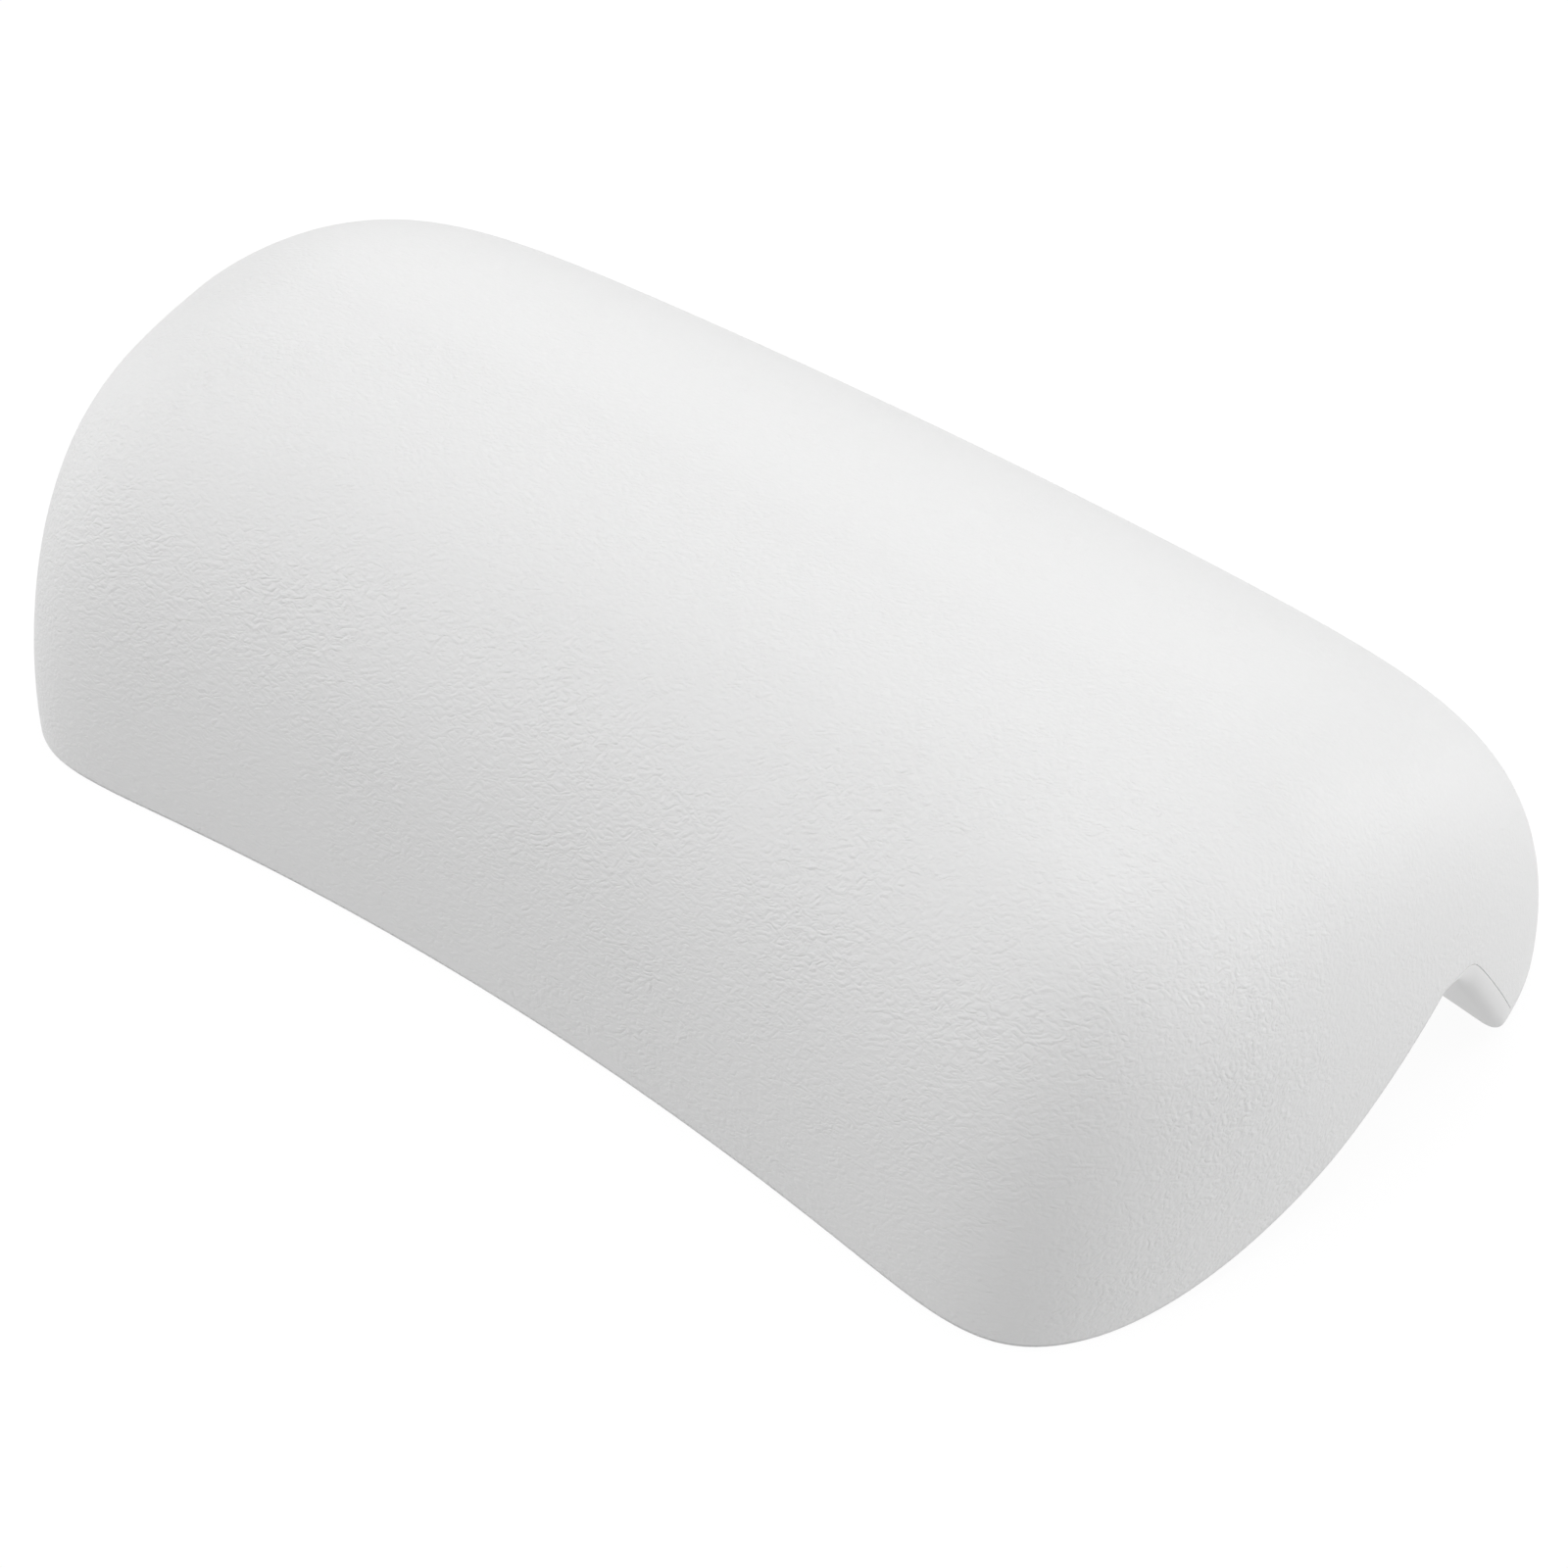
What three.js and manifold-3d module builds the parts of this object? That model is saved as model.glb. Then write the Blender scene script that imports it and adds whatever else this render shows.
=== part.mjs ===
// A moulded bath pillow: a grained cover and a smooth base skin around a foam core. A lip along the rear edge
// hooks over the edge of a tub, and two suction cups turn in sockets that a plate inside the foam carries.
// Millimetres, +Z up. X runs along the pillow, and Y from the head side to the lip.
import * as THREE from 'three';
import { mergeVertices } from 'three/addons/utils/BufferGeometryUtils.js';
import Module from 'manifold-3d';

// Outer size of the moulding
const LENGTH = 300; // end to end along the bent middle line
const FRONT_REACH = 77; // middle line to the head side, near the ends
const REAR_REACH = 89; // middle line to the back of the lip, near the ends
const FRONT_WAIST = 4.3; // how far the head side draws in at the middle
const REAR_SWELL = 2; // how far the back swells at the middle
const CROWN_HEIGHT = 89.5; // height that the section would have at the ends
const SADDLE_DROP = 8.5; // how much lower the crown is in the middle
const BEND_RADIUS = 954; // bend of the middle line, hollow towards the head

// Roundness of the moulding, as pairs of exponents: higher ones make a squarer corner
const PLAN_FRONT = { along: 8.5, across: 3.1 };
const PLAN_REAR = { along: 9.9, across: 2.6 };
const END_FRONT = { along: 7.7, up: 2.7 };
const END_REAR = { along: 9.3, up: 2.2 };
const SECTION_FRONT = { across: 3.2, up: 1.86 };
const SECTION_REAR = { across: 1.6, up: 2.26 };

// Underside: a flat foot, a ramp up to the channel's corner and the inside of the lip
const FOOT_DEPTH = 18; // flat part of the foot, from the head side
const RAMP_BACK = -24; // where the ramp's straight line meets the base plane, from the middle line
const CORNER_BACK = 29; // the channel's corner before rounding, from the middle line
const CORNER_HEIGHT = 34;
const CORNER_ROUND = 6; // length of each side that the rounding of the corner takes
const LIP_INSIDE = 52; // where the lip's inner face meets the base plane, from the middle line
const LIP_ROUND = 3; // length of each side that the rounding of that edge takes

// Skins and clearances
const SKIN = 1.4; // thickness of the cover and the base skin
const SEAM_RISE = 2; // the joint line's distance from the underside
const GAP = 0.3; // clearance between neighbouring pieces

// Suction cups and what carries them, measured along the cups' axes from the ramp
const CUP_SPREAD = 75; // cup axis from the middle, along the bend
const CUP_BACK = 0; // cup axis on the ramp, from the middle line
const CUP_RADIUS = 18;
const CUP_EDGE = 1.4; // thickness at the rim
const CUP_HOLLOW = 4.6; // depth of the suction hollow
const CUP_FLARE = 1.3; // exponent of the bell's outer curve
const SEAL_WIDTH = 2; // flat sealing ring
const RIM_PROUD = 2.5; // sealing ring beyond the ramp
const BOSS_RADIUS = 7;
const BOSS_HEIGHT = 2;
const TAB_LENGTH = 3.5; // release tab beyond the rim
const TAB_WIDTH = 8;
const TAB_THICKNESS = 0.9;
const HEAD_RADIUS = 6;
const HEAD_HEIGHT = 4;
const NECK_RADIUS = 3.7;
const THROAT_LENGTH = 2.2;
const SOCKET_WALL = 1.7;
const FLANGE_RADIUS = 13;
const FLANGE_THICKNESS = 1.6;
const CLIP_LEDGE = 1.2; // how far the clip rim stands over the plate's hole
const CLIP_HEIGHT = 2;
const POCKET_RADIUS = 24; // pocket in the ramp around each cup
const POCKET_DEPTH = 9; // the pocket's ceiling behind the ramp
const PLATE_THICKNESS = 2.4;
const PLATE_MARGIN = 20; // plate beyond the cup axes
const PLATE_WIDTH = 46;
const PLATE_CORNER = 8;

// Mesh steps
const RAYS = 52; // around the outline
const CORNER_PULL = 60; // packs the rays into the outline's corners, as length for each radian turned
const RINGS = 8; // from the crown to the outline
const EDGE_PACKING = 3; // packs the rings towards the steep edge
const SWEEP_STEPS = 8; // along the underside
const CURVE_STEPS = 5; // in each curve of the underside's profile
const TURN_STEPS = 32; // around a cup or socket
const DOME_STEPS = 5; // across a cup's wall
const FINE_STEPS = 20; // measuring steps for each ray
const HALVINGS = 50; // steps that close in on the outline
const OVERRUN = 20; // how far a cutting body runs past what it cuts
const MERGE = 1e-4;

const wasm = await Module();
wasm.setup();

// The triangles of a geometry as a closed solid that faces outward
function solidOf(geometry) {
  const bare = geometry.clone();
  bare.deleteAttribute('normal');
  bare.deleteAttribute('uv');
  const merged = mergeVertices(bare, MERGE);
  const spots = merged.attributes.position.array;
  const corner = (i) => new THREE.Vector3().fromArray(spots, 3 * i);
  const triangles = [];
  let volume = 0;
  for (let i = 0; i < merged.index.count; i += 3) {
    const [a, b, c] = [0, 1, 2].map((k) => merged.index.getX(i + k));
    if (a !== b && b !== c && a !== c) {
      triangles.push([a, b, c]);
      volume += corner(a).dot(corner(b).cross(corner(c)));
    }
  }
  const outward = triangles.map(([a, b, c]) => (volume < 0 ? [a, c, b] : [a, b, c]));
  return new wasm.Manifold(new wasm.Mesh({
    numProp: 3,
    vertProperties: spots,
    triVerts: new Uint32Array(outward.flat()),
  }));
}

function meshOf(name, solid, material) {
  const { vertProperties, triVerts } = solid.getMesh();
  const geometry = new THREE.BufferGeometry();
  geometry.setAttribute('position', new THREE.BufferAttribute(vertProperties, 3));
  geometry.setIndex(new THREE.BufferAttribute(triVerts, 1));
  geometry.computeVertexNormals();
  const mesh = new THREE.Mesh(geometry, material);
  mesh.name = name;
  return mesh;
}

// A place along the bent middle line, a distance across it and a height
function bend(along, across, height) {
  const angle = along / BEND_RADIUS;
  const radius = BEND_RADIUS + across;
  return new THREE.Vector3(radius * Math.sin(angle), radius * Math.cos(angle) - BEND_RADIUS, height);
}

// One minus a power, which falls from 1 in the middle to 0 at the edge
function falloff(share, fast, slow) {
  return Math.max(0, 1 - Math.abs(share) ** fast) ** (1 / slow);
}

// Distance from the middle line to the edge, before the corners round it off
function reachAt(sigma, isFront) {
  const middle = 1 - sigma * sigma;
  return isFront ? FRONT_REACH - FRONT_WAIST * middle : REAR_REACH + REAR_SWELL * middle;
}

// Height of the top as a share of the crown, at shares of the half length and of the local width
function topShare(sigma, tau) {
  const { across, up } = tau < 0 ? SECTION_FRONT : SECTION_REAR;
  const rearward = 0.5 + 0.5 * Math.sin((Math.PI / 2) * tau);
  const endFront = falloff(sigma, END_FRONT.along, END_FRONT.up);
  const endRear = falloff(sigma, END_REAR.along, END_REAR.up);
  const end = THREE.MathUtils.lerp(endFront, endRear, rearward);
  const saddle = 1 - (SADDLE_DROP / CROWN_HEIGHT) * (1 - sigma * sigma);
  return end * saddle * falloff(tau, across, up);
}

// Where a ray from the middle meets the plan outline, as shares of the half length and the reach
function outlineAt(angle) {
  const [c, s] = [Math.sin(angle), Math.cos(angle)];
  const { along, across } = s < 0 ? PLAN_FRONT : PLAN_REAR;
  let [low, high] = [0.5, 2];
  for (let i = 0; i < HALVINGS; i += 1) {
    const middle = (low + high) / 2;
    const inside = Math.abs(middle * c) ** along + Math.abs(middle * s) ** across < 1;
    [low, high] = inside ? [middle, high] : [low, middle];
  }
  return { sigma: low * c, share: low * s };
}

// Rays that meet the outline at even steps of its length and turning, from the middle of the back
function evenRays() {
  const fine = RAYS * FINE_STEPS;
  const spot = (i) => {
    const { sigma, share } = outlineAt((2 * Math.PI * i) / fine);
    return new THREE.Vector2(sigma * (LENGTH / 2), share * reachAt(sigma, share < 0));
  };
  const step = (i) => spot(i).sub(spot(i - 1));
  const run = [0];
  for (let i = 1; i <= fine; i += 1) {
    const turn = step(i - 1).angleTo(step(i + 1)) / 2;
    run.push(run[i - 1] + step(i).length() + CORNER_PULL * turn);
  }
  return Array.from({ length: RAYS }, (_, ray) => {
    const target = (run[fine] * ray) / RAYS;
    const i = run.findIndex((length) => length > target);
    const part = (target - run[i - 1]) / (run[i] - run[i - 1]);
    return outlineAt((2 * Math.PI * (i - 1 + part)) / fine);
  });
}

const rays = evenRays();

// The whole loaf, made smaller all round by an inset, with a straight skirt below the base plane
function loaf(inset) {
  const half = LENGTH / 2 - inset;
  const crown = CROWN_HEIGHT - inset;
  const place = (sigma, share, height) => {
    const reach = reachAt(sigma, share < 0) - inset;
    return bend(sigma * half, share * reach, height);
  };
  const points = [place(0, 0, -OVERRUN)];
  rays.forEach(({ sigma, share }) => points.push(place(sigma, share, -OVERRUN)));
  for (let ring = RINGS; ring > 0; ring -= 1) {
    const rho = 1 - (1 - ring / RINGS) ** EDGE_PACKING;
    rays.forEach(({ sigma, share }) => {
      const { along, across } = share < 0 ? PLAN_FRONT : PLAN_REAR;
      const tau = (rho * share) / falloff(rho * sigma, along, across);
      const height = ring === RINGS ? 0 : crown * topShare(rho * sigma, tau);
      points.push(place(rho * sigma, rho * share, height));
    });
  }
  points.push(place(0, 0, crown * topShare(0, 0)));
  const index = [];
  const at = (ring, ray) => 1 + ring * RAYS + (ray % RAYS);
  for (let ray = 0; ray < RAYS; ray += 1) {
    index.push(0, at(0, ray), at(0, ray + 1));
    for (let ring = 1; ring <= RINGS; ring += 1) {
      const [a, b] = [at(ring - 1, ray), at(ring - 1, ray + 1)];
      const [c, d] = [at(ring, ray), at(ring, ray + 1)];
      index.push(a, d, b, a, c, d);
    }
    index.push(at(RINGS, ray), points.length - 1, at(RINGS, ray + 1));
  }
  const geometry = new THREE.BufferGeometry().setFromPoints(points);
  geometry.setIndex(index);
  return solidOf(geometry);
}

// Points of the underside's profile, across the pillow and up
const footEnd = new THREE.Vector2(-FRONT_REACH + FOOT_DEPTH, 0);
const rampFoot = new THREE.Vector2(RAMP_BACK, 0);
const channelCorner = new THREE.Vector2(CORNER_BACK, CORNER_HEIGHT);
const lipEdge = new THREE.Vector2(LIP_INSIDE, 0);

// A point on the way from one point to another, at a distance from the first
function towards(from, to, distance) {
  return from.clone().addScaledVector(to.clone().sub(from).normalize(), distance);
}

const rampRoom = rampFoot.distanceTo(channelCorner) - CORNER_ROUND;
const rampEnd = towards(rampFoot, channelCorner, Math.min(rampFoot.distanceTo(footEnd), rampRoom));
const ramp = new THREE.QuadraticBezierCurve(footEnd, rampFoot, rampEnd);

// The underside's profile from the head side to the back of the lip
function undersideProfile() {
  const path = new THREE.Path();
  const line = ({ x, y }) => path.lineTo(x, y);
  const round = (corner, end) => path.quadraticCurveTo(corner.x, corner.y, end.x, end.y);
  path.moveTo(-FRONT_REACH - OVERRUN, 0);
  line(footEnd);
  round(rampFoot, rampEnd);
  line(towards(channelCorner, rampFoot, CORNER_ROUND));
  round(channelCorner, towards(channelCorner, lipEdge, CORNER_ROUND));
  line(towards(lipEdge, channelCorner, LIP_ROUND));
  round(lipEdge, new THREE.Vector2(LIP_INSIDE + LIP_ROUND, 0));
  path.lineTo(REAR_REACH + REAR_SWELL + OVERRUN, 0);
  return path.getPoints(CURVE_STEPS);
}

// The profile moved into the moulding by a distance
function movedProfile(points, distance) {
  const last = points.length - 1;
  return points.map((point, i) => {
    const before = points[Math.min(Math.max(i, 1), last)].clone().sub(points[Math.max(i - 1, 0)]).normalize();
    const after = points[Math.min(i + 1, last)].clone().sub(points[Math.min(i, last - 1)]).normalize();
    const normal = new THREE.Vector2(-before.y - after.y, before.x + after.x).normalize();
    const spread = normal.dot(new THREE.Vector2(-before.y, before.x));
    return point.clone().addScaledVector(normal, distance / spread);
  });
}

// The place on the ramp where the cups sit, and the ramp's slope there
function cupSeat() {
  const { v0, v1, v2 } = ramp;
  const [a, b, c] = [v0.x - 2 * v1.x + v2.x, 2 * (v1.x - v0.x), v0.x - CUP_BACK];
  const share = Math.min((-2 * c) / (b + Math.sqrt(b * b - 4 * a * c)), 1);
  return { place: ramp.getPoint(share), slope: ramp.getTangent(share).angle() };
}

// The frame of the cups: X from cup to cup, Z along their axes into the foam
const seat = cupSeat();
const rightCup = bend(CUP_SPREAD, seat.place.x, seat.place.y);
const cupFrame = new THREE.Group();
cupFrame.position.set(0, rightCup.y, rightCup.z);
cupFrame.rotation.x = seat.slope;
cupFrame.updateMatrix();
const cupSides = { left: -rightCup.x, right: rightCup.x };

// A round cutting body on a cup's axis
function bore(radius, low, high, x) {
  const geometry = new THREE.CylinderGeometry(radius, radius, high - low, TURN_STEPS);
  geometry.rotateX(Math.PI / 2);
  geometry.translate(x, 0, (low + high) / 2);
  return solidOf(geometry.applyMatrix4(cupFrame.matrix));
}

// Everything below the underside and in the cup pockets, grown into the moulding by a distance
function below(distance) {
  const edge = movedProfile(undersideProfile(), distance);
  const floor = -2 * OVERRUN;
  const [first, last] = [edge[0].x, edge[edge.length - 1].x];
  const outline = [new THREE.Vector2(first, floor), ...edge, new THREE.Vector2(last, floor)];
  const depth = LENGTH + 2 * OVERRUN;
  const options = { depth, steps: SWEEP_STEPS, bevelEnabled: false };
  const geometry = new THREE.ExtrudeGeometry(new THREE.Shape(outline), options);
  const spots = geometry.attributes.position;
  for (let i = 0; i < spots.count; i += 1) {
    const { x, y, z } = bend(spots.getZ(i) - depth / 2, spots.getX(i), spots.getY(i));
    spots.setXYZ(i, x, y, z);
  }
  return Object.values(cupSides).reduce(
    (sum, x) => sum.add(bore(POCKET_RADIUS + distance, -OVERRUN, POCKET_DEPTH + distance, x)),
    solidOf(geometry),
  );
}

// What stacks up on a cup's axis, from its sealing ring to the top of its socket
const plateLow = POCKET_DEPTH + SKIN + GAP;
const plateHigh = plateLow + PLATE_THICKNESS;
const flangeHigh = POCKET_DEPTH - GAP;
const flangeLow = flangeHigh - FLANGE_THICKNESS;
const chamberLow = flangeLow + THROAT_LENGTH;
const headLow = chamberLow + GAP;
const headHigh = headLow + HEAD_HEIGHT;
const chamberHigh = headHigh + GAP;
const clipLow = plateHigh + GAP;
const socketHigh = Math.max(chamberHigh + SOCKET_WALL, clipLow + CLIP_HEIGHT);
const bossHigh = flangeLow - GAP;
const bossLow = bossHigh - BOSS_HEIGHT;
const sealLow = -RIM_PROUD;

const chamberRadius = HEAD_RADIUS + GAP;
const throatRadius = NECK_RADIUS + GAP;
const barrelRadius = chamberRadius + SOCKET_WALL;
const holeRadius = barrelRadius + GAP;
const clipRadius = holeRadius + CLIP_LEDGE;

// A profile of radii and heights turned about the cup's axis
function turned(profile) {
  const points = profile.map(([radius, height]) => new THREE.Vector2(radius, height));
  const geometry = new THREE.LatheGeometry(points, TURN_STEPS);
  return solidOf(geometry.rotateX(Math.PI / 2));
}

function cupSocket() {
  return turned([
    [0, socketHigh],
    [barrelRadius, socketHigh],
    [clipRadius, clipLow + CLIP_HEIGHT / 2],
    [clipRadius, clipLow],
    [barrelRadius, clipLow],
    [barrelRadius, flangeHigh],
    [FLANGE_RADIUS, flangeHigh],
    [FLANGE_RADIUS, flangeLow],
    [throatRadius, flangeLow],
    [throatRadius, chamberLow],
    [chamberRadius, chamberLow],
    [chamberRadius, chamberHigh],
    [0, chamberHigh],
  ]);
}

// The tab at a cup's rim that lets air in, pointing up the ramp
function releaseTab() {
  const half = TAB_WIDTH / 2;
  const root = CUP_RADIUS - SEAL_WIDTH / 2;
  const tip = CUP_RADIUS + TAB_LENGTH;
  const outline = new THREE.Shape();
  outline.moveTo(half, root);
  outline.quadraticCurveTo(half, tip, 0, tip);
  outline.quadraticCurveTo(-half, tip, -half, root);
  const options = { depth: TAB_THICKNESS, bevelEnabled: false, curveSegments: DOME_STEPS };
  const geometry = new THREE.ExtrudeGeometry(outline, options);
  return solidOf(geometry.translate(0, 0, sealLow + (CUP_EDGE - TAB_THICKNESS) / 2));
}

function suctionCup() {
  const steps = Array.from({ length: DOME_STEPS + 1 }, (_, i) => i / DOME_STEPS);
  const edgeHigh = sealLow + CUP_EDGE;
  const sealRadius = CUP_RADIUS - SEAL_WIDTH;
  const bell = steps.map((share) => [
    THREE.MathUtils.lerp(BOSS_RADIUS, CUP_RADIUS, share),
    edgeHigh + (bossLow - edgeHigh) * (1 - share) ** CUP_FLARE,
  ]);
  const hollow = steps.map((share) => [
    sealRadius * (1 - share),
    sealLow + CUP_HOLLOW * (1 - (1 - share) ** 2),
  ]);
  const body = turned([
    [0, headHigh],
    [HEAD_RADIUS / 2, headHigh],
    [HEAD_RADIUS, headLow + HEAD_HEIGHT / 2],
    [HEAD_RADIUS, headLow],
    [NECK_RADIUS, headLow],
    [NECK_RADIUS, bossHigh],
    [BOSS_RADIUS, bossHigh],
    ...bell,
    [CUP_RADIUS, sealLow],
    ...hollow,
  ]);
  return body.add(releaseTab());
}

// The plate's slab in the frame of the cups, grown all round by a distance
function plateSlab(distance) {
  const x = rightCup.x + PLATE_MARGIN + distance;
  const y = PLATE_WIDTH / 2 + distance;
  const r = PLATE_CORNER + distance;
  const outline = new THREE.Shape();
  outline.absarc(x - r, y - r, r, 0, Math.PI / 2);
  outline.absarc(r - x, y - r, r, Math.PI / 2, Math.PI);
  outline.absarc(r - x, r - y, r, Math.PI, 1.5 * Math.PI);
  outline.absarc(x - r, r - y, r, 1.5 * Math.PI, 2 * Math.PI);
  const options = {
    depth: PLATE_THICKNESS + 2 * distance, bevelEnabled: false, curveSegments: DOME_STEPS,
  };
  const slab = new THREE.ExtrudeGeometry(outline, options).translate(0, 0, plateLow - distance);
  return solidOf(slab.applyMatrix4(cupFrame.matrix));
}

function cutAtCups(solid, radius, low, high) {
  return Object.values(cupSides).reduce((rest, x) => rest.subtract(bore(radius, low, high, x)), solid);
}

// Both skins are one closed shell that the joint line parts
const outside = loaf(0).subtract(below(0));
const inside = loaf(SKIN).subtract(below(SKIN));
const shell = outside.subtract(inside);
const cover = shell.subtract(below(SEAM_RISE + GAP));
const base = cutAtCups(shell.intersect(below(SEAM_RISE)), holeRadius, 0, plateLow);

// The foam fills the skins, with room for the plate and the sockets
const filling = loaf(SKIN + GAP).subtract(below(SKIN + GAP)).subtract(plateSlab(GAP));
const core = cutAtCups(filling, clipRadius + GAP, plateLow, socketHigh + GAP);
const plate = cutAtCups(plateSlab(0), holeRadius, 0, plateHigh + OVERRUN);

const material = (color, roughness) => new THREE.MeshStandardMaterial({ color, roughness, metalness: 0 });
const coverWhite = material('#f4f4f3', 0.55);
const baseWhite = material('#ececea', 0.6);
const foamCream = material('#efe9d6', 0.95);
const plateGrey = material('#c9ccce', 0.5);
const socketWhite = material('#f0f0f0', 0.4);
const cupClear = material('#dfe7e6', 0.2);

const pillow = new THREE.Group();
pillow.add(meshOf('grained_cover', cover, coverWhite));
pillow.add(meshOf('foam_core', core, foamCream));
pillow.add(meshOf('base_skin', base, baseWhite));
pillow.add(meshOf('anchor_plate', plate, plateGrey));
Object.entries(cupSides).forEach(([side, x]) => {
  const socket = meshOf(`cup_socket_${side}`, cupSocket(), socketWhite);
  const cup = meshOf(`suction_cup_${side}`, suctionCup(), cupClear);
  socket.position.x = x;
  cup.position.x = x;
  cupFrame.add(socket, cup);
});
pillow.add(cupFrame);

// The frame's origin is the middle of the base
const box = new THREE.Box3().setFromObject(pillow);
const middle = box.getCenter(new THREE.Vector3());
pillow.position.set(-middle.x, -middle.y, -box.min.z);

export default pillow;
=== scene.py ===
"""The looks of a moulded bath pillow: a grained white cover and a smooth base skin over foam, with two
clear suction cups that turn in sockets on the underside. Sizes are in millimetres until a mesh is made."""

import math

import bmesh
import bpy
import numpy as np
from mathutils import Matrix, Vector


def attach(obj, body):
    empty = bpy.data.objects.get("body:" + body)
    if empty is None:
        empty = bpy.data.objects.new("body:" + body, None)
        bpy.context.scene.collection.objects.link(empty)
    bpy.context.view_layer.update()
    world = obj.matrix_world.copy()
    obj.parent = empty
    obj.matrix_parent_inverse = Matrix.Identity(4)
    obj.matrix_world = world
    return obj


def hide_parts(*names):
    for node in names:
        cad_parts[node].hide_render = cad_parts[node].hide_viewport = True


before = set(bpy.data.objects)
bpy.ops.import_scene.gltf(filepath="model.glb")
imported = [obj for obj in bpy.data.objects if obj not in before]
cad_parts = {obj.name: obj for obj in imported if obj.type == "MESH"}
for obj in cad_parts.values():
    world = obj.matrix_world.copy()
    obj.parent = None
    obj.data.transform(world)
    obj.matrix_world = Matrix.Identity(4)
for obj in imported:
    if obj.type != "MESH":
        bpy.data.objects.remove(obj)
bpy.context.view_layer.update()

MM = 0.001

# Outer form of the moulding
LENGTH = 300.0
FRONT_REACH = 75.25
REAR_REACH = 89.0
FRONT_WAIST = 3.3
REAR_SWELL = 2.0
CROWN = 89.5
SADDLE_DROP = 8.5
BEND_RADIUS = 954.0
MIDDLE_Y = 5.96  # the box's middle, from the middle line

# Exponents of the plan's outline, the ends' height and the section, in front and behind
PLAN_FRONT = (14.2, 2.0)
PLAN_REAR = (9.9, 2.6)
END_FRONT = (7.7, 2.7)
END_REAR = (9.3, 2.2)
SECTION_FRONT = (3.2, 1.86)
SECTION_REAR = (1.6, 2.26)

# Underside: foot, ramp, channel and lip, as places across and heights
FOOT_END = -59.0
RAMP_BACK = -24.0  # where the ramp's straight line would meet the foot
CORNER = (29.0, 34.0)
CORNER_ROUND = 6.0
LIP_INSIDE = 51.2
LIP_ROUND = 1.8

# Skins and the joint line between them
SKIN = 1.4
GAP = 0.3
JOINT_LOW = 0.6  # the joint line above the foot and the ramp
JOINT_TOP = 32.0  # where its climb along the ramp ends
JOINT_LIP = 5.2  # the joint line from the lip's inside
JOINT_FLAT = 5.0  # the joint line above the lip's flat
JOINT_SOFT = 3.0  # how soft its corner beside the channel is
JOINT_FRONT_GAP = 0.12
JOINT_SIDE_GAP = 0.04
JOINT_SIDE = (-70.0, -45.0)  # where the joint line narrows between the front and the sides
JOINT_ROLL = 0.12  # the round of both skins at the joint line
EDGE_ROUND = 0.9
LIP_EDGE_ROUND = 4.0
EDGE_GROWS = (27.0, 35.0)  # where the base's round edge grows from the ramp's to the lip's

# Cups: the right one's place on the ramp, and sizes from there along its axis
CUP_X = 74.923
CUP_Y = -8.907
CUP_Z = 15.586
CUP_TILT = math.radians(29.799)
CUP_RADIUS = 18.0
CUP_EDGE = 1.4  # thickness of the bell at its rim
CUP_HOLLOW = 4.6
CUP_FLARE = 1.3  # exponent of the bell's fall towards the rim
SEAL_WIDTH = 2.0
RIM_LOW = -2.5
RIM_DROP = 0.1  # how far the rim's outer edge lies below the bell's end
RIM_ROUND = 0.5
BELL_INSET = 0.5  # how far inside the rim the bell ends
BOSS_RADIUS = 7.0
BOSS_LOW = 4.8
BOSS_HIGH = 6.8
TAB_LENGTH = 3.5
TAB_WIDTH = 8.0
TAB_ROOT = 0.9  # the outer part of the rim that runs out into the tab
TAB_FULLNESS = 2.6  # exponent of the tab's round end
HEAD_RADIUS = 6.0
HEAD_LOW = 9.6
HEAD_SIDE = 2.0  # height of the head's straight side
HEAD_HIGH = 13.6
NECK_RADIUS = 3.7
STEM_ROUND = 0.6

# Sockets, pockets and plate: sizes along the cups' axes from the ramp
THROAT_RADIUS = 4.0
CHAMBER_RADIUS = 6.3
CHAMBER_LOW = 9.3
CHAMBER_HIGH = 13.9
BARREL_RADIUS = 8.0
FLANGE_RADIUS = 13.0
FLANGE_LOW = 7.1
FLANGE_HIGH = 8.7
CLIP_RADIUS = 9.5
CLIP_LOW = 13.4
CLIP_SIDE = 1.0  # height of the clip rim's straight side
CLIP_INSET = 0.4  # how far the top lies inside the barrel's side
SOCKET_HIGH = 15.6
SOCKET_ROUND = 0.45
POCKET_RADIUS = 24.0
POCKET_DEPTH = 9.0
POCKET_ROUND = 0.8
POCKET_MOUTH = -20.0  # well below the ramp, where the foam's room for a pocket starts
POCKET_ROWS = (-27.5, 23.4)  # the window in the base's sheet that a pocket fills, across
POCKET_COLUMNS = (-29.0, 29.0)  # the same along, from the cup's axis
HOLE_RADIUS = 8.3
PLATE_HALF = (94.92, 23.0)
PLATE_LOW = 10.7
PLATE_HIGH = 13.1

# Steps and points of the meshes
HALVINGS = 48
OUTLINE_SPAN = (0.4, 1.6)  # shares of a direction between which the outline lies
TINY = 1e-9  # keeps a divisor from zero
RAMP_STEPS = 36
STRAIGHT_POINTS = 10
CORNER_STEPS = 12
INSIDE_POINTS = 16
LIP_STEPS = 10
JOINT_SPAN = (-90.0, 100.0)  # places across, from before the front edge to past the rear one
JOINT_POINTS = 1521
RAY_SAMPLES = 160
RAY_PACE = 2.5  # how much closer a ray's samples lie towards the edge
COVER_GRID = (241, 161)
FOAM_GRID = (121, 81)
ROLL_STEPS = 4
EDGE_STEPS = 10
BORDER_POINTS = 4096
RUN_POINTS = 1200
BASE_COLUMNS = 161
FOOT_ROWS = 7
FLAT_ROWS = 13
RIM_ROUNDS = 30  # steps that settle the pocket's rim on the ramp
PATCH_RINGS = 9
POCKET_ROUND_STEPS = 5
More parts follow.
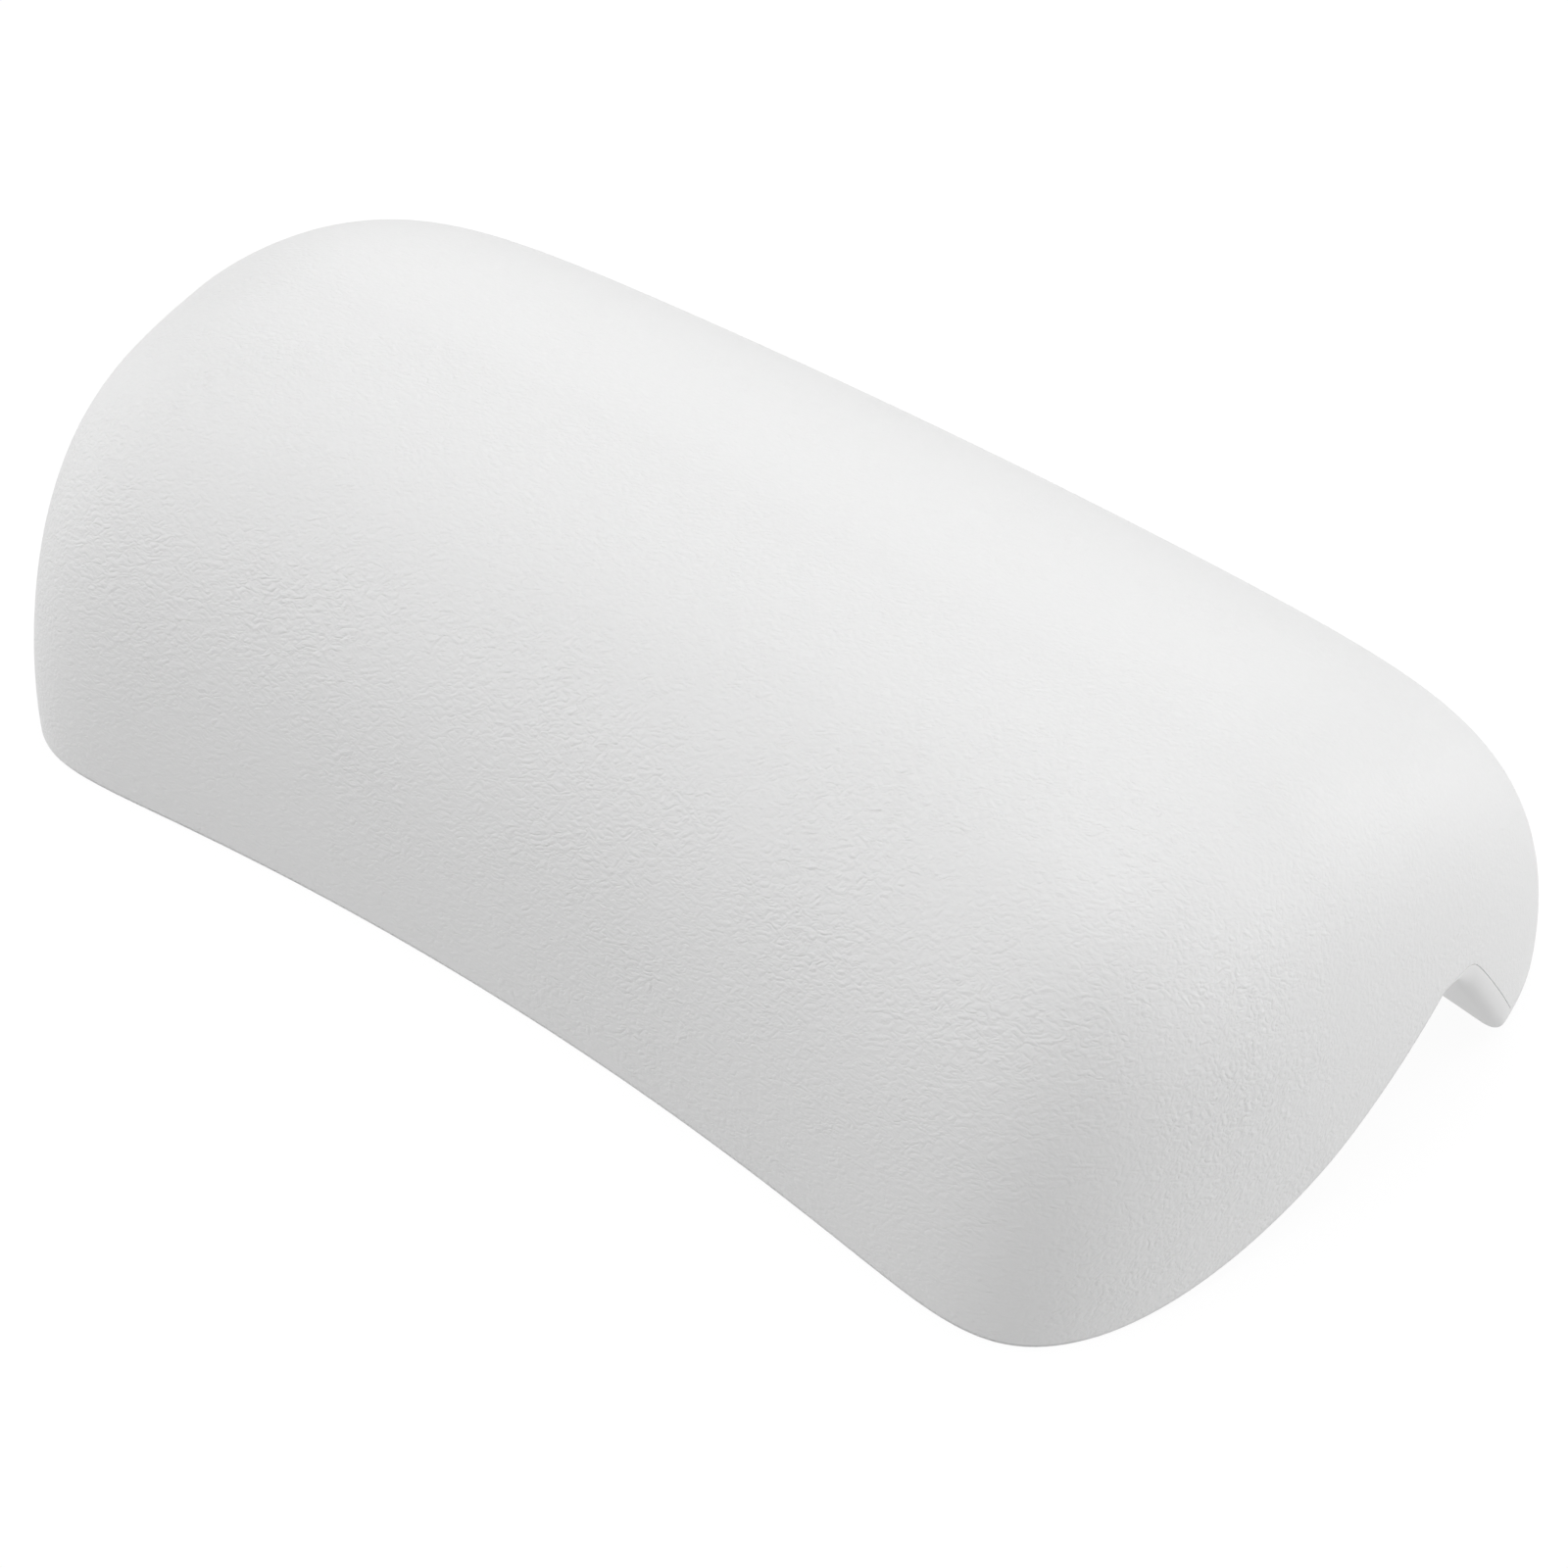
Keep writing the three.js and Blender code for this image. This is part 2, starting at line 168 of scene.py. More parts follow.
WALL_RINGS = 7
WALL_START = 0.12  # the share of a pocket's wall that the round at its rim takes
CEILING_RINGS = 9
BELL_POINTS = 15
ROUND_STEPS = 3
ROUND_SHARE = 0.4  # the most of a side that a turned profile's round takes
TURN_STEPS = 128
CUP_TURN_STEPS = 192
ROOM_TURN_STEPS = 64
WELD = 2e-6  # in metres
SLIVER = 1e-7  # in metres

# Creases of the skins, with distances in metres
CREASE_PUSH = 0.0012  # how far a noise pushes the creases about
CREASE_PUSH_SCALE = 0.4  # that noise's scale, as a share of the creases' own
CREASE_SCALES = (1.0, 1.9)  # the coarse and the fine creases, as shares of the scale
CREASE_FINE = 0.35  # how much the fine ones count
CREASE_REST = 0.1  # the height where creases come to rest
CREASE_TURN = (0.0, math.radians(-19.6), math.radians(15.6))
CREASE_FADE = (-0.045, 0.02)  # where the creases grow calmer from the front to the rear
PATCH_SCALE = 45.0
PATCH_SPAN = (0.3, 0.7)  # the broad noise's values from the calmest to the fullest creases
PATCH_KEEPS = (0.55, 1.0)  # how much of the creases is kept there
ROUGH_DRIFT = 0.06
HAZE_SCALE = 120.0
HAZE_ROUGH = (0.1, 0.3)

# Stage: the floor's sheet in millimetres, light and camera in metres, degrees and watts
FLOOR_HALF = 40000.0
FLOOR_LOW = -0.2
FLOOR_POINTS = 9
FLOOR_WHITE = 1.03  # the floor's own light as the camera sees it
FLOOR_LIT = 0.88  # the share of that light in what the camera sees near the pillow
FLOOR_FADE = (0.35, 0.7)  # how far from the pillow's middle that share grows to one, in metres
FLOOR_GLOW = 0.8  # the floor's light on the pillow
ROOM_LIGHT = 0.03
LIGHT_SIZE = 1.2
LIGHT_AWAY = 1.5
SOFT_LIGHTS = {  # azimuth, elevation and watts
    "soft_above": (0, 89, 14.3),
    "soft_right": (90, 20, 6.4),
    "soft_rear_right": (135, 22, 8.2),
    "soft_rear_left": (210, 25, 6.5),
    "soft_left": (285, 20, 6.0),
    "soft_front": (330, 30, 6.8),
}
CAMERA_VIEW = (38.695, 42.254)  # azimuth and elevation
CAMERA_AWAY = 0.6606
CAMERA_TARGET = (0.0, -MIDDLE_Y * MM, 0.0359)
CAMERA_SENSOR = 36.0
CAMERA_LENS = 77.37
CAMERA_SHIFT = (0.0299, -0.0761)


# Forms

def falloff(share, fast, slow):
    """One minus a power of the share, rooted: 1 in the middle and 0 at the edge."""
    return np.maximum(0.0, 1.0 - np.abs(share) ** fast) ** (1.0 / slow)


def pick(front, pair_front, pair_rear):
    """A pair of exponents for the front or the rear half, as arrays."""
    return [np.where(front, ahead, behind) for ahead, behind in zip(pair_front, pair_rear)]


def bend(along, across, height):
    """Points along an arc of the bend's radius, moved across it, with the box's middle at zero."""
    angle = along / BEND_RADIUS
    radius = BEND_RADIUS + across
    x = radius * np.sin(angle)
    y = radius * np.cos(angle) - BEND_RADIUS - MIDDLE_Y
    return np.stack(np.broadcast_arrays(x, y, height), -1)


def reach(along, front):
    """Distance from the middle line to the edge: straight, less a waist in front and plus a swell behind."""
    middle = 1.0 - along * along
    return np.where(front, FRONT_REACH - FRONT_WAIST * middle, REAR_REACH + REAR_SWELL * middle)


def outline(along, across):
    """Scales each direction until |along| to one power plus |across| to another is 1, by halving."""
    fast, slow = pick(across < 0, PLAN_FRONT, PLAN_REAR)
    low, high = [np.full(along.shape, share) for share in OUTLINE_SPAN]
    for _ in range(HALVINGS):
        middle = (low + high) / 2
        inside = np.abs(middle * along) ** fast + np.abs(middle * across) ** slow < 1
        low, high = np.where(inside, middle, low), np.where(inside, high, middle)
    return low * along, low * across


def loaf(along_edge, across_edge, outward, inset=0.0):
    """Along, across and height of the top at a share of the way outward to the outline. The height is the
    crown times the end's falloff, a saddle and the section's falloff."""
    along, across = outward * along_edge, outward * across_edge
    front = across < 0
    width = falloff(along, *pick(front, PLAN_FRONT, PLAN_REAR))
    section = np.clip(across / np.maximum(width, TINY), -1, 1)
    rearward = 0.5 + 0.5 * np.sin(np.pi * section / 2)
    end = falloff(along, *END_FRONT) * (1 - rearward) + falloff(along, *END_REAR) * rearward
    saddle = 1 - SADDLE_DROP / CROWN * (1 - along * along)
    height = (CROWN - inset) * end * saddle * falloff(section, *pick(front, SECTION_FRONT, SECTION_REAR))
    return along * (LENGTH / 2 - inset), across * (reach(along, front) - inset), height


def curve(start, control, end, steps):
    """Points of a parabola from start to end that leaves and arrives towards the control point."""
    share = np.linspace(0, 1, steps + 1).reshape((-1,) + (1,) * np.ndim(start))
    start, control, end = np.asarray(start), np.asarray(control), np.asarray(end)
    return (1 - share) ** 2 * start + 2 * share * (1 - share) * control + share ** 2 * end


def step_from(start, end, distance):
    """The point at a distance from start towards end."""
    start, end = np.asarray(start, float), np.asarray(end, float)
    return start + (end - start) * (distance / np.linalg.norm(end - start))


RAMP_FOOT = np.array([RAMP_BACK, 0.0])
RAMP_END = step_from(RAMP_FOOT, CORNER, RAMP_BACK - FOOT_END)
LIP_EDGE = np.array([LIP_INSIDE, 0.0])


def profile_parts():
    """The underside's profile between the foot and the lip's flat: the ramp's parabola, a straight, the
    round corner of the channel, the lip's straight inside and its round edge."""
    ramp = curve((FOOT_END, 0.0), RAMP_FOOT, RAMP_END, RAMP_STEPS)
    before = step_from(CORNER, RAMP_FOOT, CORNER_ROUND)
    after = step_from(CORNER, LIP_EDGE, CORNER_ROUND)
    corner = curve(before, CORNER, after, CORNER_STEPS)
    start = step_from(LIP_EDGE, CORNER, LIP_ROUND)
    edge = curve(start, LIP_EDGE, (LIP_INSIDE + LIP_ROUND, 0.0), LIP_STEPS)
    straight = np.linspace(ramp[-1], corner[0], STRAIGHT_POINTS)[1:-1]
    inside = np.linspace(corner[-1], edge[0], INSIDE_POINTS)[1:-1]
    return np.concatenate([ramp, straight, corner, inside, edge])


PROFILE = profile_parts()
PROFILE_SLOPE = np.gradient(PROFILE[:, 1], PROFILE[:, 0])


def underside(across):
    """Height of the underside, read from its profile."""
    return np.interp(across, PROFILE[:, 0], PROFILE[:, 1], 0.0, 0.0)


def lean(across):
    """How much further up a distance square to the underside is, measured upright."""
    return np.sqrt(1 + np.interp(across, PROFILE[:, 0], PROFILE_SLOPE, 0.0, 0.0) ** 2)


def above(rise):
    """The level that lies a distance square to the underside, as a function of the place across."""
    return lambda across: underside(across) + rise * lean(across)


def joint_height(across):
    """Height of the joint line: just above the foot and the ramp, level past the channel's corner, and down
    well beside the lip's inside, with a soft corner between."""
    slope = CORNER[1] / (CORNER[0] - RAMP_BACK)
    fall = CORNER[1] / (LIP_INSIDE - CORNER[0])
    climb = np.minimum(slope * (across - RAMP_BACK), JOINT_TOP)
    ramp = np.maximum(underside(across), climb) + JOINT_LOW
    lip = np.maximum(fall * (LIP_INSIDE - across) + JOINT_LIP * math.hypot(1, fall), JOINT_FLAT)
    return (ramp + lip - np.hypot(ramp - lip, JOINT_SOFT)) / 2


JOINT_ACROSS = np.linspace(*JOINT_SPAN, JOINT_POINTS)
JOINT_SLOPE = np.gradient(joint_height(JOINT_ACROSS), JOINT_ACROSS)


def along_joint(side, extra=0.0):
    """The level of the joint line's upper side (1) or lower side (-1), and an extra distance square to it,
    as a function of the place across."""
    def level(across):
        """The joint line's height, moved square to the line."""
        gap = np.interp(across, JOINT_SIDE, (JOINT_FRONT_GAP, JOINT_SIDE_GAP))
        stretch = np.hypot(1, np.interp(across, JOINT_ACROSS, JOINT_SLOPE))
        return joint_height(across) + side * (gap / 2 + extra) * stretch

    return level


def edge_round(across):
    """Size of the base's round edge: small at the foot and the ramp, large round the lip."""
    start, end = EDGE_GROWS
    share = np.clip((across - start) / (end - start), 0, 1)
    return EDGE_ROUND + (LIP_EDGE_ROUND - EDGE_ROUND) * share * share * (3 - 2 * share)


def trimmed(along_edge, across_edge, level, inset=0.0):
    """The share of the way to the outline where the loaf's wall passes a level, by halving its outer half."""
    low, high = np.full(along_edge.shape, 0.5), np.ones(along_edge.shape)
    for _ in range(HALVINGS):
        middle = (low + high) / 2
        _, across, height = loaf(along_edge, across_edge, middle, inset)
        higher = height > level(across)
        low, high = np.where(higher, middle, low), np.where(higher, high, middle)
    return low


def wall_point(along_edge, across_edge, level, inset=0.0):
    """Points on the wall at a level."""
    outward = trimmed(along_edge, across_edge, level, inset)
    return bend(*loaf(along_edge, across_edge, outward, inset))


# Meshes

def grid_faces(rows, columns, wrap=False):
    """Quads of a grid of vertex numbers, row by row, which may wrap round its columns."""
    index = np.arange(rows * columns).reshape(rows, columns)
    if wrap:
        index = np.concatenate([index, index[:, :1]], 1)
    return np.stack([index[:-1, :-1], index[:-1, 1:], index[1:, 1:], index[1:, :-1]], -1).reshape(-1, 4)


def new_piece(name, parts, smooth=True):
    """One mesh object from parts of (points in millimetres, faces), welded, facing out, in metres."""
    mesh = bpy.data.meshes.new(name)
    points, faces, count = [], [], 0
    for spots, quads in parts:
        spots = spots.reshape(-1, 3)
        points.append(spots)
        faces.append(np.asarray(quads) + count)
        count += len(spots)
    mesh.from_pydata((np.concatenate(points) * MM).tolist(), [], np.concatenate(faces).tolist())
    work = bmesh.new()
    work.from_mesh(mesh)
    bmesh.ops.remove_doubles(work, verts=work.verts, dist=WELD)
    bmesh.ops.dissolve_degenerate(work, edges=work.edges, dist=SLIVER)
    bmesh.ops.recalc_face_normals(work, faces=work.faces)
    work.to_mesh(mesh)
    work.free()
    mesh.polygons.foreach_set("use_smooth", [smooth] * len(mesh.polygons))
    mesh.update()
    piece = bpy.data.objects.new(name, mesh)
    bpy.context.scene.collection.objects.link(piece)
    return piece


def square_directions(columns, rows):
    """A grid of directions over a square, with each point's ring and the outline point it heads for."""
    along, across = np.meshgrid(np.linspace(-1, 1, columns), np.linspace(-1, 1, rows))
    ring = np.maximum(np.abs(along), np.abs(across))
    safe = np.maximum(ring, TINY)
    along = np.where(ring > 0, along / safe, 1.0)
    across = np.where(ring > 0, across / safe, 0.0)
    return ring, *outline(along, across)


def rim_of(grid):
    """The points round a grid's border, in order."""
    return np.concatenate([grid[0, :-1], grid[:-1, -1], grid[-1, :0:-1], grid[:0:-1, 0]])


def crown_surface(columns, rows, level, inset=0.0):
    """The loaf's top and walls down to a level: rays from the crown, each walked at an even pace along its
    own length."""
    ring, along_edge, across_edge = square_directions(columns, rows)
    low = trimmed(along_edge, across_edge, level, inset)
    pace = 1 - (1 - np.linspace(0, 1, RAY_SAMPLES)) ** RAY_PACE
    outward = low[..., None] * pace
    spots = np.stack(loaf(along_edge[..., None], across_edge[..., None], outward, inset), -1)
    steps = np.linalg.norm(np.diff(spots, axis=-2), axis=-1)
    run = np.concatenate([np.zeros(low.shape + (1,)), np.cumsum(steps, -1)], -1)
    target = ring * run[..., -1]
    after = np.clip((run < target[..., None]).sum(-1), 1, RAY_SAMPLES - 1)
    run_before = np.take_along_axis(run, after[..., None] - 1, -1)[..., 0]
    run_after = np.take_along_axis(run, after[..., None], -1)[..., 0]
    part = (target - run_before) / (run_after - run_before)
    share = pace[after - 1] + (pace[after] - pace[after - 1]) * part
    return bend(*loaf(along_edge, across_edge, share * low, inset))


def joint_rings(along_edge, across_edge, side):
    """A skin's quarter round above (1) or below (-1) the joint line, as rings from the wall inwards."""
    rings = []
    for turn in np.linspace(0, np.pi / 2, ROLL_STEPS + 1):
        level = along_joint(side, JOINT_ROLL * (1 - np.sin(turn)))
        rings.append(wall_point(along_edge, across_edge, level, JOINT_ROLL * (1 - np.cos(turn))))
    return rings


def make_cover():
    """The grained cover: the outer face, a small round at the joint line and the inner face, one closed
    skin."""
    columns, rows = COVER_GRID
    outer = crown_surface(columns, rows, along_joint(1, JOINT_ROLL))
    inner = crown_surface(columns, rows, along_joint(1), SKIN)
    _, along_edge, across_edge = square_directions(columns, rows)
    rolled = joint_rings(rim_of(along_edge), rim_of(across_edge), 1)
    strip = np.stack([rim_of(outer), *rolled[1:], rim_of(inner)])
    return new_piece("cover_moulding", [
        (outer, grid_faces(rows, columns)),
        (inner, grid_faces(rows, columns)[:, ::-1]),
        (strip, grid_faces(*strip.shape[:2], wrap=True)),
    ])


def base_loop():
    """The underside's border as dense closed arrays, which start at the front left corner: its edge drawn in
    along the underside by the round, and the directions that it lies in."""
    walk = np.linspace(0, 4, BORDER_POINTS, endpoint=False)  # round the four sides of a square
    side, part = np.floor(walk), 2 * (walk % 1) - 1
    sides = [side == 0, side == 1, side == 2]
    along_edge, across_edge = outline(np.select(sides, [part, 1.0, -part], -1.0),
                                      np.select(sides, [-1.0, part, 1.0], -part))
    run, across, _ = loaf(along_edge, across_edge, trimmed(along_edge, across_edge, underside))
    edge = np.stack([run, across], -1)
    tangent = np.roll(edge, -1, 0) - np.roll(edge, 1, 0)
    tangent /= np.linalg.norm(tangent, axis=-1, keepdims=True)
    inward = np.stack([-tangent[:, 1], tangent[:, 0]], -1)
    drawn = edge + edge_round(across)[:, None] * inward
    return {"drawn": drawn, "along_edge": along_edge, "across_edge": across_edge}


def on_underside(plan):
    """Points of the underside over plan places of along and across."""
    return bend(plan[..., 0], plan[..., 1], underside(plan[..., 1]))


def sample_loop(loop, place):
    """The loop's arrays at places that lie between its points."""
    low = np.floor(place).astype(int)
    part = place - low

    def between(values):
        """A straight mix of the points before and after each place."""
        weight = part.reshape((-1,) + (1,) * (values.ndim - 1))
        return values[low % BORDER_POINTS] * (1 - weight) + values[(low + 1) % BORDER_POINTS] * weight

    return {key: between(values) for key, values in loop.items()}


def right_places(loop, stations):
    """Where the drawn-in border passes each station across, on the right."""
    drawn = loop["drawn"]
    right = drawn[:, 0] > 0
    first = np.argmin(np.where(right, drawn[:, 1], np.inf))
    last = np.argmax(np.where(right, drawn[:, 1], -np.inf))
    run = np.arange(first, last + 1)
    return np.interp(stations, np.maximum.accumulate(drawn[run, 1]), run)


def even_run(loop, start, end):
    """Evenly spaced places on the border from one place to another."""
    dense = np.linspace(start, end, RUN_POINTS)
    steps = np.linalg.norm(np.diff(sample_loop(loop, dense)["drawn"], axis=0), axis=1)
    length = np.concatenate([[0], np.cumsum(steps)])
    return np.interp(np.linspace(0, length[-1], BASE_COLUMNS), length, dense)


def base_plan(loop):
    """The underside's plan, as rows of places along and across, and the border's places in order round it.
    The rows are ruled over the foot, across the profile's stations and over the lip's flat."""
    stations = PROFILE[:, 0]
    quarter = BORDER_POINTS / 4
    right = right_places(loop, stations)
    left = (quarter - right) % BORDER_POINTS  # a quarter of the loop less a place is its mirror
    front_run = even_run(loop, quarter - right[0], right[0])
    rear_run = even_run(loop, right[-1], 5 * quarter - right[-1])
    half = sample_loop(loop, right)["drawn"][:, :1]
    share = np.linspace(-1, 1, BASE_COLUMNS)
    ruled = np.stack(np.broadcast_arrays(half * share, stations[:, None]), -1)
    front = sample_loop(loop, front_run)["drawn"]
    rear = sample_loop(loop, rear_run)["drawn"][::-1]
    foot = np.linspace(front, ruled[0], FOOT_ROWS + 1)[:-1]
    flat = np.linspace(ruled[-1], rear, FLAT_ROWS + 1)[1:]
    places = np.concatenate([front_run, right[1:], rear_run[1:], left[::-1][1:-1]])
    return np.concatenate([foot, ruled, flat]), places


def cup_place(beside, uphill, depth, side=1):
    """Points in the cups' tilted frame: beside the axis, uphill along the ramp and deep along the axis."""
    beside, uphill, depth = np.broadcast_arrays(beside, uphill, depth)
    cosine, sine = math.cos(CUP_TILT), math.sin(CUP_TILT)
    x = side * (CUP_X + beside)
    y = CUP_Y + uphill * cosine - depth * sine
    z = CUP_Z + uphill * sine + depth * cosine
    return np.stack([x, y, z], -1)


def cup_local(points):
    """The right cup's frame read back from points: beside the axis, uphill and in depth."""
    cosine, sine = math.cos(CUP_TILT), math.sin(CUP_TILT)
    y, z = points[..., 1] - CUP_Y, points[..., 2] - CUP_Z
    return points[..., 0] - CUP_X, y * cosine + z * sine, z * cosine - y * sine


def pocket_rim(angle, radius):
    """Plan places where a round wall about the right cup's axis cuts the ramp, by stepping the place across
    until it lies as far up the ramp as the circle does."""
    x = CUP_X + radius * np.cos(angle)
    target = radius * np.sin(angle)
    across = target * math.cos(CUP_TILT)
    for _ in range(RIM_ROUNDS):
        run = BEND_RADIUS * np.arcsin(x / (BEND_RADIUS + across))
        _, uphill, _ = cup_local(bend(run, across, underside(across)))
        across = across + (target - uphill) * math.cos(CUP_TILT)
    return np.stack([BEND_RADIUS * np.arcsin(x / (BEND_RADIUS + across)), across], -1)


def pocket_window(plan):
    """The plan's rows and columns between which the right pocket lies."""
    across = plan[:, BASE_COLUMNS // 2, 1]
    along = np.linspace(-1, 1, BASE_COLUMNS) * plan[FOOT_ROWS:-FLAT_ROWS, -1, 0].mean()
    rows = [np.argmin(np.abs(across - edge)) for edge in POCKET_ROWS]
    columns = [np.argmin(np.abs(along - (CUP_X + edge))) for edge in POCKET_COLUMNS]
    return rows, columns


def pocket_surface(border):
    """The right pocket as rings round its axis: from its window's border over the ramp to the rim, round it,
    up the wall, round again and over the ceiling to the socket's hole."""
    beside, uphill, _ = cup_local(on_underside(border))
    angle = np.arctan2(uphill, beside)

    def ring(radius, depth):
        """A ring at a radius and a depth along the axis."""
        return cup_place(radius * np.cos(angle), radius * np.sin(angle), depth)

    outer_rim = pocket_rim(angle, POCKET_RADIUS + POCKET_ROUND)
    patch = on_underside(np.linspace(border, outer_rim, PATCH_RINGS))
    rim = on_underside(pocket_rim(angle, POCKET_RADIUS))
    mouth = cup_local(rim)[2]
    climb = POCKET_DEPTH - POCKET_ROUND - mouth
    shares = np.linspace(WALL_START, 1, WALL_RINGS)
    wall = np.stack([ring(POCKET_RADIUS, mouth + climb * share) for share in shares])
    over = curve(patch[-1], rim, wall[0], POCKET_ROUND_STEPS)
    radii = np.linspace(POCKET_RADIUS - POCKET_ROUND, HOLE_RADIUS, CEILING_RINGS)
    ceiling = np.stack([ring(radius, POCKET_DEPTH) for radius in radii])
    under = curve(wall[-1], ring(POCKET_RADIUS, POCKET_DEPTH), ceiling[0], POCKET_ROUND_STEPS)
    return np.concatenate([patch, over[1:-1], wall, under[1:], ceiling[1:]])


def base_edge(loop, places):
    """The base's round edge and its wall up to the joint line, as rings round the border."""
    found = sample_loop(loop, places)
    edges = found["along_edge"], found["across_edge"]

    def round_top(across):
        """The level where the round edge ends on the wall."""
        return np.minimum(above(edge_round(across))(across), along_joint(-1, JOINT_ROLL)(across))

    low, corner = on_underside(found["drawn"]), wall_point(*edges, underside)
    rounded_edge = curve(low, corner, wall_point(*edges, round_top), EDGE_STEPS)
    return np.stack([*rounded_edge, *joint_rings(*edges, -1)])


def make_base():
    """The base skin: the underside's sheet with a window for each pocket, the pockets, and the round edge
    up to the joint line. A wall thickness closes it."""
    loop = base_loop()
    plan, places = base_plan(loop)
    (row_low, row_high), (column_low, column_high) = pocket_window(plan)
    faces = grid_faces(*plan.shape[:2])
    row, column = np.divmod(np.arange(len(faces)), BASE_COLUMNS - 1)
    outward = np.maximum(column, BASE_COLUMNS - 2 - column)  # counted alike towards both ends
    in_rows = (row >= row_low) & (row < row_high)
    in_window = in_rows & (outward >= column_low) & (outward < column_high)
    pocket = pocket_surface(rim_of(plan[row_low:row_high + 1, column_low:column_high + 1]))
    pocket_faces = grid_faces(*pocket.shape[:2], wrap=True)
    edge = base_edge(loop, places)
    piece = new_piece("base_moulding", [
        (on_underside(plan), faces[~in_window]),
        (pocket, pocket_faces),
        (pocket * np.array([-1.0, 1.0, 1.0]), pocket_faces[:, ::-1]),
        (edge, grid_faces(*edge.shape[:2], wrap=True)),
    ])
    wall = piece.modifiers.new("wall", "SOLIDIFY")
    wall.thickness = SKIN * MM
    wall.offset = -1.0
    wall.thickness_clamp = 1.0
    return piece


def rounded(corners, radius):
    """A turned profile whose inner corners are rounded, each over at most a radius or a share of a side."""
    points = [np.array(corners[0], float)]
    for before, corner, after in zip(corners, corners[1:], corners[2:]):
        start = step_from(corner, before, min(radius, ROUND_SHARE * math.dist(before, corner)))
        end = step_from(corner, after, min(radius, ROUND_SHARE * math.dist(corner, after)))
        points.extend(curve(start, corner, end, ROUND_STEPS))
    points.append(np.array(corners[-1], float))
    return np.array(points)


def turned(profile, side, steps=TURN_STEPS, swell=None):
    """A profile of radii and heights carried round a cup's axis. A swell lengthens each radius by the
    angle."""
    angle = np.linspace(0, 2 * np.pi, steps, endpoint=False)
    radius = np.broadcast_to(profile[:, :1], (len(profile), steps))
    if swell is not None:
        radius = radius + swell(profile, angle)
    height = np.broadcast_to(profile[:, 1:], radius.shape)
    spots = cup_place(radius * np.cos(angle), radius * np.sin(angle), height, side)
    return spots, grid_faces(len(profile), steps, wrap=True)


def make_socket(side, name):
    """A flanged socket turned from its profile, with its clip rim and the chamber for the cup's head."""
    corners = [
        (0, SOCKET_HIGH), (BARREL_RADIUS - CLIP_INSET, SOCKET_HIGH),
        (CLIP_RADIUS, CLIP_LOW + CLIP_SIDE), (CLIP_RADIUS, CLIP_LOW), (BARREL_RADIUS, CLIP_LOW),
        (BARREL_RADIUS, FLANGE_HIGH), (FLANGE_RADIUS, FLANGE_HIGH), (FLANGE_RADIUS, FLANGE_LOW),
        (THROAT_RADIUS, FLANGE_LOW), (THROAT_RADIUS, CHAMBER_LOW), (CHAMBER_RADIUS, CHAMBER_LOW),
        (CHAMBER_RADIUS, CHAMBER_HIGH), (0, CHAMBER_HIGH),
    ]
    return new_piece(name, [turned(rounded(corners, SOCKET_ROUND), side)])


def tab_swell(profile, angle):
    """How far the rim reaches out into the release tab: the tab's round end, at angles up the ramp."""
    away = np.abs(np.angle(np.exp(1j * (angle - np.pi / 2)))) * CUP_RADIUS / (TAB_WIDTH / 2)
    at_rim = np.clip((profile[:, :1] - (CUP_RADIUS - TAB_ROOT)) / TAB_ROOT, 0, 1)
    return TAB_LENGTH * at_rim * falloff(away, TAB_FULLNESS, 2.0)


def make_cup(side, name):
    """A soft cup turned from its profile: a mushroom head, a neck, a boss, a bell that thins to the rim, a
    flat sealing ring and a hollow that rises as a parabola."""
    share = np.linspace(0, 1, BELL_POINTS)
    edge_high = RIM_LOW + CUP_EDGE
    bell_end = CUP_RADIUS - BELL_INSET
    seal = CUP_RADIUS - SEAL_WIDTH
    bell = np.stack([BOSS_RADIUS + (bell_end - BOSS_RADIUS) * share,
                     edge_high + (BOSS_LOW - edge_high) * (1 - share) ** CUP_FLARE], -1)
    hollow = np.stack([seal * (1 - share), RIM_LOW + CUP_HOLLOW * (1 - (1 - share) ** 2)], -1)
    stem = rounded([
        (0, HEAD_HIGH), (HEAD_RADIUS / 2, HEAD_HIGH), (HEAD_RADIUS, HEAD_LOW + HEAD_SIDE),
        (HEAD_RADIUS, HEAD_LOW), (NECK_RADIUS, HEAD_LOW), (NECK_RADIUS, BOSS_HIGH),
        (BOSS_RADIUS, BOSS_HIGH), tuple(bell[0]),
    ], STEM_ROUND)
    rim = rounded([
        tuple(bell[-1]), (CUP_RADIUS, edge_high - RIM_DROP), (CUP_RADIUS, RIM_LOW), (seal, RIM_LOW),
    ], RIM_ROUND)
    profile = np.concatenate([stem, bell[1:], rim[1:], hollow[1:]])
    return new_piece(name, [turned(profile, side, CUP_TURN_STEPS, tab_swell)])


def round_bar(radius, low, high, side):
    """A plain closed cylinder on a cup's axis, for cutting."""
    profile = np.array([(0, high), (radius, high), (radius, low), (0, low)], float)
    return turned(profile, side, ROOM_TURN_STEPS)


def slab(grow):
    """The plate's room: a box in the cups' frame, grown by a distance. Four corners lie below and four
    above."""
    beside = np.tile([-1, 1, 1, -1], 2) * (PLATE_HALF[0] + grow)
    uphill = np.tile([-1, -1, 1, 1], 2) * (PLATE_HALF[1] + grow)
    depth = np.repeat([PLATE_LOW - grow, PLATE_HIGH + grow], 4)
    quads = [(3, 2, 1, 0), (4, 5, 6, 7), (0, 1, 5, 4), (1, 2, 6, 5), (2, 3, 7, 6), (3, 0, 4, 7)]
    return cup_place(beside - CUP_X, uphill, depth), quads


